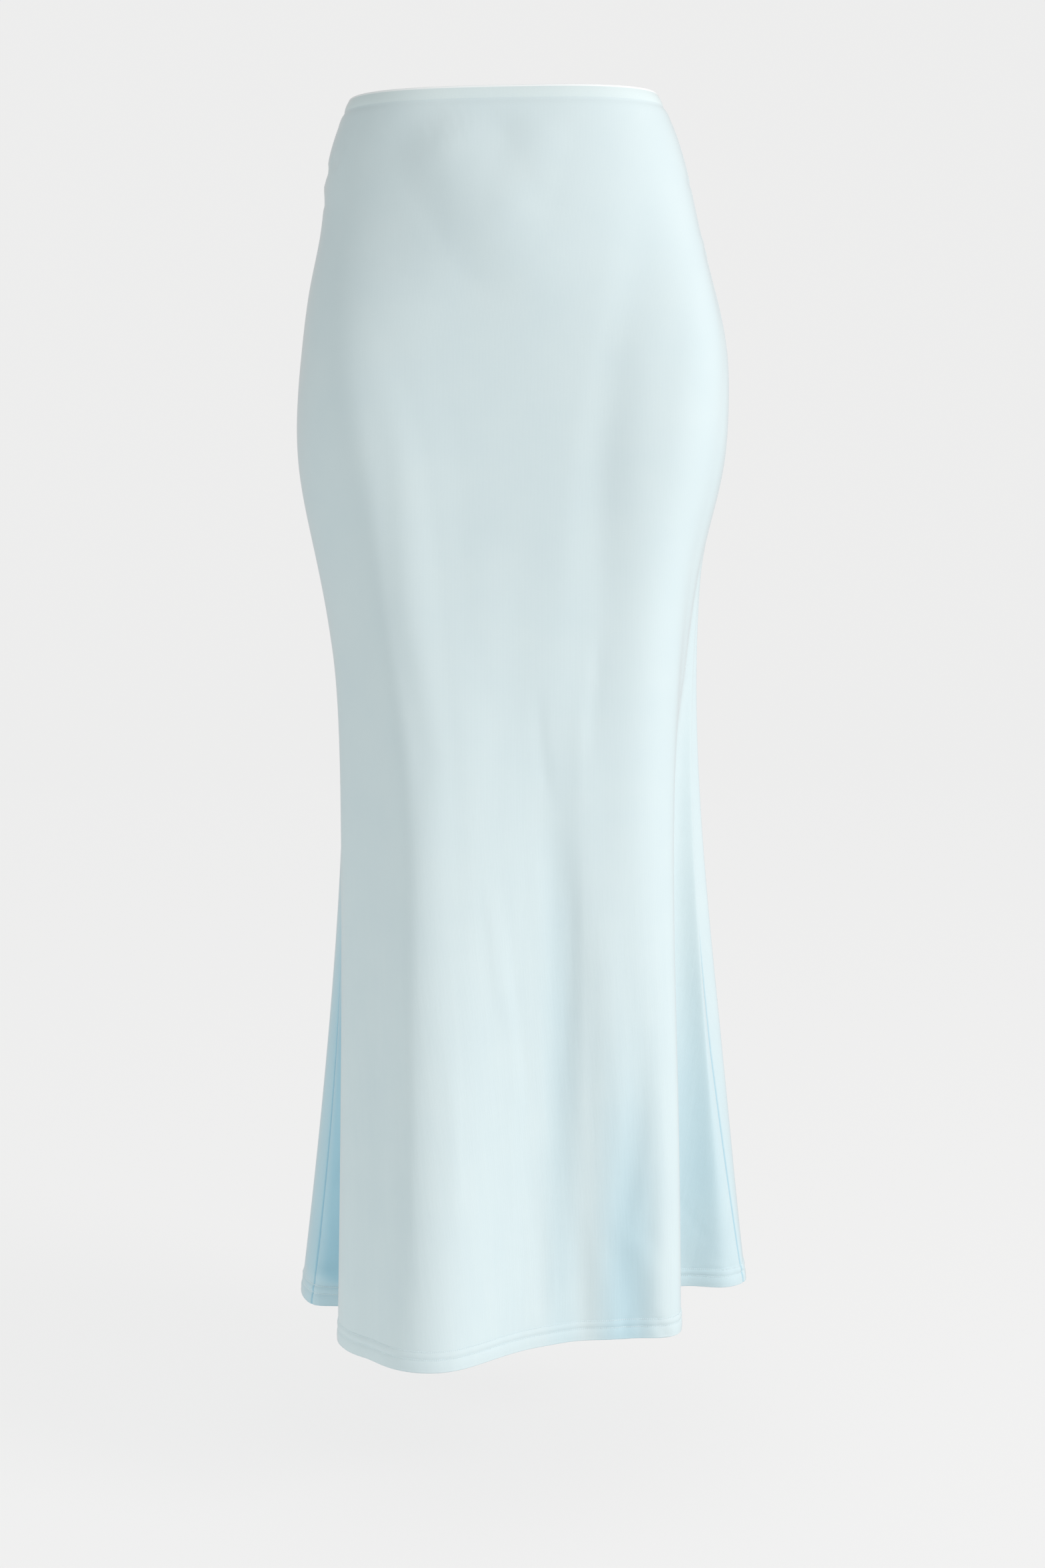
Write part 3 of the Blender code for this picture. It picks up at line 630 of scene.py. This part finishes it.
def hem_ripple(reach, drops):
    """The hem's slight waviness between its stitches, uneven along the cloth."""
    along = reach * 2 * math.pi
    wave, drift, swell = RIPPLE_WAVES
    ripples = np.sin(along / wave + 1.9 * np.sin(along / drift))
    size = 0.55 + 0.45 * np.sin(along / swell + 0.6)
    middle, spread = RIPPLE_HEIGHT
    above = LENGTH - drops[:, None]
    return RIPPLE_RISE * ripples * size * bell((above - middle) / spread)


def seam_relief(distance):
    """The side seam's groove and the soft swell of the allowance beside it."""
    return raised(SEAM_RIDGES, distance) - SEAM_DEPTH * np.exp(-((distance / SEAM_WIDTH) ** 2))


def build_mesh(name, points, faces, cut=None):
    """A smooth mesh object; `cut` gives each point's place on the flat cloth and its painted shade
    or painted highlight.
    """
    mesh = bpy.data.meshes.new(name)
    mesh.from_pydata(points.tolist(), [], faces)
    mesh.shade_smooth()
    mesh.set_sharp_from_angle(angle=SHARP_EDGE)
    if cut is not None:
        spread = mesh.attributes.new("cut", "FLOAT_VECTOR", "POINT")
        spread.data.foreach_set("vector", np.ascontiguousarray(cut, float).ravel())
    mesh.update()
    made = bpy.data.objects.new(name, mesh)
    bpy.context.scene.collection.objects.link(made)
    return made


def nearer_seam(reach):
    """Distance of each point of a panel from the nearer side seam, along its row."""
    return np.minimum(reach, reach[:, -1:] - reach)


def painted_shade(turns, drops, reach):
    """How much painted shade each point of a panel takes in folds, past 1 only in a seam's groove,
    where more painted shade goes.
    """
    tint = np.zeros(reach.shape)
    for fold in PAINTED_SHADE_FOLDS:
        share = ease((drops - fold.start) / PAINTED_SHADE_RISE) * ease((fold.end - drops) / fold.fade)
        across = bell(turns_between(turns, fold.turn) / fold.spread)
        tint += fold.depth * share[:, None] * across
    # Painted shade in the seams' grooves
    seam_shade = np.exp(-((nearer_seam(reach) / SEAM_WIDTH) ** 2))
    return np.clip(tint, 0, 1) + SEAM_PAINTED_SHADE * seam_shade


def panel_surface(turns, drops):
    """Outer face of a panel: points, and each one's distance along its row from the first seam."""
    frames = [skirt_frames(turns, drop) for drop in drops]
    points = np.array([frame[0] for frame in frames])
    out = np.array([frame[2] for frame in frames])
    steps = np.linalg.norm(np.diff(points, axis=1), axis=2)
    reach = np.concatenate((np.zeros((len(drops), 1)), np.cumsum(steps, axis=1)), axis=1)
    relief = seam_relief(nearer_seam(reach)) * ease(drops / SEAM_FADE)[:, None]
    relief += (hem_relief(drops) + raised(WAIST_RIDGES, drops))[:, None]
    relief += hem_ripple(reach, drops)
    relief += crease_relief(points, turns, out)
    return points + out * relief[..., None], reach


def outward(points):
    """Directions out of the cloth at each point of a grid."""
    out = np.cross(np.gradient(points, axis=0), np.gradient(points, axis=1))
    return out / np.linalg.norm(out, axis=2)[..., None]


def add_panel(name, start, end):
    """One panel from seam to seam: its outer face, the hem's rounded edge and its inner face."""
    turns = column_turns(start, end)
    drops = row_drops(CASING_HEIGHT, LENGTH)
    outer, reach = panel_surface(turns, drops)
    along = np.cumsum(np.linalg.norm(np.diff(outer, axis=0, prepend=outer[:1]), axis=2), axis=0)
    # The third value is the painted shade in folds and seams
    cut = np.stack((reach - reach[:, -1:] / 2, -along, painted_shade(turns, drops, reach)), axis=2)
    out = outward(outer)
    turned = ease((HEM_TURN - (LENGTH - drops)) / HEM_STEP)
    inner = outer - out * (CLOTH + (HEM_WALL - CLOTH) * turned)[:, None, None]

    # The last row is lifted, so that the rounded edge below it ends level with the hem
    radius = HEM_WALL / 2
    lift = np.array((0, 0, radius * EDGE_ROUND))
    outer[-1] += lift
    edge = [outer[-1] - out[-1] * radius * (1 - math.cos(angle)) - lift * math.sin(angle)
            for angle in np.radians(EDGE_ANGLES)]
    inner[-1] = outer[-1] - out[-1] * HEM_WALL
    inside = np.arange(len(drops) - 1, -1, -2)
    loop = np.concatenate((outer, edge, inner[inside]))
    loop_cut = np.concatenate((cut, [cut[-1]] * len(edge), cut[inside]))

    numbers = np.arange(loop.shape[0] * loop.shape[1]).reshape(loop.shape[:2])
    faces = []
    for row, following in zip(numbers, np.roll(numbers, -1, axis=0)):
        faces += np.column_stack((row[:-1], following[:-1], following[1:], row[1:])).tolist()
    # One strip of faces closes each side edge
    first_inside = len(drops) + len(edge)
    for column, order in ((0, 1), (-1, -1)):
        line = numbers[:, column].tolist()
        faces.append(line[len(drops) - 1 : first_inside + 1][::-order])
        for step, row in enumerate(inside[:-1]):
            low = first_inside + step
            faces.append([line[row], line[low], line[low + 1], line[row - 2],
                          line[row - 1]][::-order])
    return build_mesh(name, loop.reshape(-1, 3), faces, loop_cut.reshape(-1, 3))


def hem_row(start, end, above, count=None):
    """Evenly spaced places along a panel at one height above the hem: point, along, out, up."""
    drops = LENGTH - above + np.array((-STITCH_STEP, 0.0, STITCH_STEP))
    surface, _ = panel_surface(column_turns(start, end), drops)
    line, out = surface[1], outward(surface)[1]
    reach = distances(line)
    count = count or int(reach[-1] / STITCH_PITCH)
    places = (np.arange(count) + 0.5) * reach[-1] / count
    even = np.column_stack([np.interp(places, reach, line[:, axis]) for axis in range(3)])
    even_out = np.column_stack([np.interp(places, reach, out[:, axis]) for axis in range(3)])
    even_out /= np.linalg.norm(even_out, axis=1)[:, None]
    along = np.gradient(even, axis=0)
    along /= np.linalg.norm(along, axis=1)[:, None]
    return even, along, even_out, np.cross(even_out, along)


def add_threads(name, heads, tails, out, bow):
    """Short lengths of thread, each bowed out of the cloth with its two ends sunk into it."""
    lifts = np.array(THREAD_LIFTS) * bow
    widths = np.array(THREAD_WIDTHS) * THREAD
    ahead = tails - heads
    across = np.cross(out, ahead)
    across /= np.linalg.norm(across, axis=1)[:, None]
    sides = np.radians(np.arange(0, 360, 60))
    rings = []
    for share, lift, width in zip(THREAD_SHARES, lifts, widths):
        middle = heads + ahead * share + out * lift
        rings.append(middle[:, None, :] + width * (
            across[:, None, :] * np.cos(sides)[None, :, None]
            + out[:, None, :] * np.sin(sides)[None, :, None]))
    points = np.stack(rings, axis=1)
    numbers = np.arange(points[..., 0].size).reshape(points.shape[:3])
    beside = np.roll(numbers, -1, axis=2)
    quads = np.stack((numbers[:, :-1], beside[:, :-1], beside[:, 1:], numbers[:, 1:]), axis=3)
    faces = quads.reshape(-1, 4).tolist()
    faces += numbers[:, 0, ::-1].tolist() + numbers[:, -1].tolist()
    return build_mesh(name, points.reshape(-1, 3), faces)


def add_hem_stitches(name, start, end):
    """The two rows of slanted stitches on the outer face."""
    heads, tails, outs = [], [], []
    for above in STITCH_ROWS:
        middle, along, out, up = hem_row(start, end, above)
        half = along * STITCH_REACH + up * STITCH_SLANT
        heads.append(middle - half)
        tails.append(middle + half)
        outs.append(out)
    return add_threads(name, *map(np.concatenate, (heads, tails, outs)), STITCH_BOW)


def add_hem_looper(name, start, end):
    """The thread inside the hem, up and down between the two rows of stitches."""
    low, _, out, _ = hem_row(start, end, LOOPER_ROWS[0])
    high = hem_row(start, end, LOOPER_ROWS[1], len(low))[0]
    inside = out * (HEM_WALL + THREAD * 0.4)
    low, high = low - inside, high - inside
    rising, falling = np.arange(0, len(low) - 1, 2), np.arange(1, len(low) - 1, 2)
    heads = np.concatenate((low[rising], high[falling]))
    tails = np.concatenate((high[rising + 1], low[falling + 1]))
    return add_threads(name, heads, tails, -np.concatenate((out[rising], out[falling])), LOOPER_BOW)


def add_casing(name):
    """The turned waist edge: a closed ring of cloth round the elastic."""
    turns = np.linspace(0, FULL_TURN, CASING_COLUMNS, endpoint=False)
    outer, inner = [], []
    for drop in CASING_ROWS:
        points, _, out = skirt_frames(turns, drop)
        outer.append(points + out * raised(WAIST_RIDGES, drop))
        level = out * (1, 1, 0)
        level /= np.linalg.norm(level, axis=1)[:, None]
        wall = CASING_WALL - 0.0006 * bell((drop - CASING_HEIGHT) / 0.004)
        inner.append(outer[-1] - level * wall)

    # The rounded rim, up from the outer face to the waist edge and down to the inner face
    radius = CASING_WALL / 2
    rise = np.zeros(outer[-1].shape)
    rise[:, 2] = skirt(turns, 0.0)[:, 2] - outer[-1][:, 2]
    rim = [outer[-1] - level * radius * (1 - math.cos(angle)) + rise * math.sin(angle)
           for angle in np.radians(RIM_ANGLES)]
    loop = outer + rim + inner[-2::-2]

    numbers = np.arange(len(loop) * len(turns)).reshape(len(loop), len(turns))
    faces = []
    for row, following in zip(numbers, np.roll(numbers, -1, axis=0)):
        beside, following_beside = np.roll(row, -1), np.roll(following, -1)
        faces += np.column_stack((row, beside, following_beside, following)).tolist()
    cut = np.zeros((len(loop), len(turns), 3))
    cut[..., 0] = distances(outer[-1])
    cut[..., 1] = -CASING_ROW * np.arange(len(loop))[:, None]
    # Painted highlight on the rim of the waist edge
    cut[len(outer) - 1 : len(outer) + HIGHLIGHT_RIM_ROWS, :, 2] = RIM_PAINTED_HIGHLIGHT
    return build_mesh(name, np.concatenate(loop), faces, cut.reshape(-1, 3))


# Materials
class Nodes:
    """Short calls for building one material's nodes."""

    def __init__(self, name, tint):
        self.material = bpy.data.materials.new(name)
        self.material.use_nodes = True
        self.tree = self.material.node_tree
        self.shader = self.tree.nodes["Principled BSDF"]
        self.material.diffuse_color = (*tint, 1)

    def add(self, kind, **inputs):
        made = self.tree.nodes.new(kind)
        for key, value in inputs.items():
            self.feed(made.inputs[key.replace("_", " ")], value)
        return made

    def feed(self, socket, value):
        if isinstance(value, bpy.types.NodeSocket):
            self.tree.links.new(value, socket)
        else:
            socket.default_value = value

    def math(self, operation, *values):
        made = self.tree.nodes.new("ShaderNodeMath")
        made.operation = operation
        for socket, value in zip(made.inputs, values):
            self.feed(socket, value)
        return made.outputs[0]

    def blend(self, share, first, second, mode="MIX"):
        """A mix of two colours, by the Mix node's own numbers for its colour sockets."""
        made = self.tree.nodes.new("ShaderNodeMix")
        made.data_type = "RGBA"
        made.blend_type = mode
        self.feed(made.inputs[0], share)
        self.feed(made.inputs[6], first)
        self.feed(made.inputs[7], second)
        return made.outputs[2]

    def noise(self, scale, detail, place):
        made = self.add("ShaderNodeTexNoise", Scale=scale, Detail=detail, Vector=place)
        return made.outputs["Fac"]

    def bump(self, height, distance, strength, normal=None):
        made = self.add("ShaderNodeBump", Height=height, Distance=distance, Strength=strength)
        if normal is not None:
            self.feed(made.inputs["Normal"], normal)
        return made.outputs["Normal"]


def shade(colour, *factors):
    return tuple(value * factor for value, factor in zip(colour, factors)) + (1.0,)


def jersey(name, tint):
    """Fine double knit: close ribs of knitted loops, soft fibres and a faint unevenness.

    The attribute "cut" gives each point's place across and down the flat cloth, and its painted
    shade or painted highlight.
    """
    nodes = Nodes(name, tint)
    calc = nodes.math
    attribute = nodes.tree.nodes.new("ShaderNodeAttribute")
    attribute.attribute_name = "cut"
    split = nodes.add("ShaderNodeSeparateXYZ", Vector=attribute.outputs["Vector"])
    across, down, painted_light = split.outputs
    place = nodes.tree.nodes.new("ShaderNodeTexCoord").outputs["Object"]

    # Ribs of slanted loops, fibres, slubs, and the streaks drawn down the flared cloth
    rib = calc("ABSOLUTE", calc(
        "SUBTRACT", calc("FRACT", calc("MULTIPLY", across, 1 / WALE)), 0.5))
    ridge = calc("SUBTRACT", 1.0, calc("POWER", calc("MULTIPLY", rib, 2.0), 2.0))
    slant = calc("ADD", calc("MULTIPLY", down, 1 / COURSE), calc("MULTIPLY", rib, 1.1))
    loops = calc("SINE", calc("MULTIPLY", slant, 2 * math.pi))
    stitch = calc("MULTIPLY", ridge, calc("MULTIPLY_ADD", loops, 0.22, 0.78))
    fibres = nodes.noise(1500.0, 2.0, place)
    slubs = nodes.noise(95.0, 3.0, place)
    uneven = nodes.noise(22.0, 2.0, place)
    streaked = nodes.add("ShaderNodeVectorMath", Vector=attribute.outputs["Vector"])
    streaked.operation = "MULTIPLY"
    streaked.inputs[1].default_value = (150.0, 13.0, 0.0)
    streaks = nodes.noise(1.0, 3.0, streaked.outputs["Vector"])
    flared = nodes.add("ShaderNodeClamp", Value=calc("MULTIPLY_ADD", down, -4.0, -1.9)).outputs[0]

    knit = nodes.bump(calc("MULTIPLY_ADD", fibres, 0.9, stitch), 0.00006, 0.27)
    drawn = nodes.bump(streaks, 0.0011, calc("MULTIPLY", flared, 0.20), knit)
    nodes.feed(nodes.shader.inputs["Normal"], nodes.bump(slubs, 0.00045, 0.13, drawn))

    # Uneven dye, painted shade between the ribs, in folds and in the seams' grooves, and a painted
    # highlight on the waist edge's rim
    unevenness = calc("MULTIPLY_ADD", calc("SUBTRACT", streaks, 0.5),
                      calc("MULTIPLY", flared, 0.6), uneven)
    varied = nodes.blend(unevenness, shade(tint, 0.965, 0.975, 0.985),
                         shade(tint, 1.03, 1.02, 1.014))
    # Painted shade in the gaps between the ribs
    ribbed = nodes.blend(ridge, nodes.blend(1.0, varied, RIB_GAP_SHADE, "MULTIPLY"), varied)
    # Painted shade: a deeper, darker blue in folds
    fold_shaded = nodes.blend(1.0, ribbed, PAINTED_FOLD_SHADE, "MULTIPLY")
    # Painted shade: more still in the seams' grooves
    seam_shaded = nodes.blend(1.0, fold_shaded, PAINTED_SEAM_SHADE, "MULTIPLY")
    fold_shade = calc("MAXIMUM", painted_light, 0.0)
    seam_shade = calc("MAXIMUM", calc("SUBTRACT", painted_light, 1.0), 0.0)
    # Painted highlight where the value is below zero, on the waist edge's rim
    rim_highlight = calc("MAXIMUM", calc("MULTIPLY", painted_light, -1.0), 0.0)
    painted_shading = nodes.blend(seam_shade, nodes.blend(fold_shade, ribbed, fold_shaded), seam_shaded)
    nodes.feed(nodes.shader.inputs["Base Color"],
               nodes.blend(rim_highlight, painted_shading, RIM_HIGHLIGHT_COLOUR))
    nodes.feed(nodes.shader.inputs["Roughness"], calc("MULTIPLY_ADD", slubs, 0.12, 0.68))
    nodes.shader.inputs["Sheen Weight"].default_value = 0.56
    nodes.shader.inputs["Sheen Roughness"].default_value = 0.30
    nodes.shader.inputs["Sheen Tint"].default_value = (1.0, 0.93, 0.92, 1.0)
    nodes.shader.inputs["Specular IOR Level"].default_value = 0.28
    return nodes.material


def thread(name, tint):
    """Soft polyester sewing thread: a faint twist and a light gloss."""
    nodes = Nodes(name, tint)
    place = nodes.tree.nodes.new("ShaderNodeTexCoord").outputs["Object"]
    twist = nodes.noise(2600.0, 1.0, place)
    nodes.feed(nodes.shader.inputs["Normal"], nodes.bump(twist, 0.00004, 0.5))
    nodes.feed(nodes.shader.inputs["Base Color"],
               nodes.blend(twist, shade(tint, 0.94, 0.96, 0.97), shade(tint, 1.03, 1.02, 1.01)))
    nodes.feed(nodes.shader.inputs["Roughness"],
               nodes.math("MULTIPLY_ADD", twist, 0.15, 0.45))
    nodes.shader.inputs["Sheen Weight"].default_value = 0.15
    return nodes.material


# The studio
def add_sweep():
    """The round pale floor, which bends up into a wall."""
    profile = [(SWEEP_RADIUS, 0.0)]
    profile += [(SWEEP_RADIUS + SWEEP_BEND * math.sin(turn), SWEEP_BEND * (1 - math.cos(turn)))
                for turn in np.radians(np.arange(10, 91, 10))]
    profile.append((SWEEP_RADIUS + SWEEP_BEND, SWEEP_TOP))
    turns = np.linspace(0, 2 * math.pi, SWEEP_SIDES, endpoint=False)
    points, faces = [(0.0, 0.0, FLOOR)], []
    for radius, height in profile:
        points += [(radius * math.cos(turn), radius * math.sin(turn), FLOOR + height)
                   for turn in turns]
    for side in range(SWEEP_SIDES):
        beside = (side + 1) % SWEEP_SIDES
        faces.append((0, 1 + side, 1 + beside))
        for ring in range(len(profile) - 1):
            low, high = 1 + ring * SWEEP_SIDES, 1 + (ring + 1) * SWEEP_SIDES
            faces.append((low + side, high + side, high + beside, low + beside))
    mesh = bpy.data.meshes.new("studio_sweep")
    mesh.from_pydata(points, [], faces)
    mesh.shade_smooth()

    material = bpy.data.materials.new("studio_sweep")
    material.use_nodes = True
    shader = material.node_tree.nodes["Principled BSDF"]
    shader.inputs["Base Color"].default_value = SWEEP_COLOUR
    shader.inputs["Roughness"].default_value = 0.9
    shader.inputs["Specular IOR Level"].default_value = 0.1
    shader.inputs["Emission Color"].default_value = (1.0, 1.0, 1.0, 1)
    shader.inputs["Emission Strength"].default_value = SWEEP_GLOW
    mesh.materials.append(material)

    sweep = bpy.data.objects.new("studio_sweep", mesh)
    bpy.context.scene.collection.objects.link(sweep)
    sweep.visible_shadow = False
    sweep.visible_diffuse = False
    sweep.visible_glossy = False


def add_light(name, place, target, size, power, colour):
    light = bpy.data.lights.new(name, "AREA")
    light.shape = "RECTANGLE"
    light.size, light.size_y = size
    light.energy = power
    light.color = colour
    made = bpy.data.objects.new(name, light)
    made.location = place
    made.rotation_euler = (Vector(target) - Vector(place)).to_track_quat("-Z", "Y").to_euler()
    made.visible_camera = False
    bpy.context.scene.collection.objects.link(made)


def add_camera():
    camera = bpy.data.cameras.new("camera")
    camera.sensor_fit = "VERTICAL"
    camera.sensor_height = CAMERA_SENSOR
    camera.lens = CAMERA_LENS
    placed = bpy.data.objects.new("camera", camera)
    placed.location = CAMERA_PLACE
    placed.rotation_euler = (math.radians(90 + CAMERA_PITCH), 0, 0)
    bpy.context.scene.collection.objects.link(placed)
    bpy.context.scene.camera = placed


def add_studio():
    world = bpy.data.worlds.new("studio_world")
    world.use_nodes = True
    sky = world.node_tree.nodes["Background"]
    sky.inputs["Color"].default_value = SKY_COLOUR
    sky.inputs["Strength"].default_value = SKY_STRENGTH
    bpy.context.scene.world = world
    bpy.context.scene.view_settings.view_transform = "Standard"
    add_sweep()
    for light in LIGHTS:
        add_light(*light)
    add_camera()


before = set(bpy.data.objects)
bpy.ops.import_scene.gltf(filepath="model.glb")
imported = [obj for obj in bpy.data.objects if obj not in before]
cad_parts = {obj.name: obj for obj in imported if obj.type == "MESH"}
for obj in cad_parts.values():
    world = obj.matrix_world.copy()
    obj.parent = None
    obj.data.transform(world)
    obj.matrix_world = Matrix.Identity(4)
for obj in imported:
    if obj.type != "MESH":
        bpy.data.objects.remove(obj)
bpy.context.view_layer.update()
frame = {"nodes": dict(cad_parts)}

cloth = jersey("jersey", CLOTH_COLOUR)
# The same jersey painted lighter for the waist band: a painted highlight
lit_waist_cloth = jersey("waist_jersey_painted_lighter", CASING_PAINTED_LIGHT_COLOUR)
sewing = thread("hem_thread", THREAD_COLOUR)
front_seams = (LEFT_SEAM, RIGHT_SEAM)
back_seams = (RIGHT_SEAM - FULL_TURN, LEFT_SEAM)

front = add_panel("front_panel_cloth", *front_seams)
back = add_panel("back_panel_cloth", *back_seams)
casing = add_casing("waist_casing_cloth")
threads = [
    add_hem_stitches("front_hem_stitches", *front_seams),
    add_hem_looper("front_hem_looper", *front_seams),
    add_hem_stitches("back_hem_stitches", *back_seams),
    add_hem_looper("back_hem_looper", *back_seams),
]
for piece, material, slot in (
        (front, cloth, "jersey"), (back, cloth, "jersey"), (casing, lit_waist_cloth, "waist_casing"),
        *((piece, sewing, "jersey") for piece in threads)):
    piece.data.materials.append(material)
    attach(piece, "root")
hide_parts("front_panel")
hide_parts("back_panel")
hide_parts("waist_casing")

add_studio()
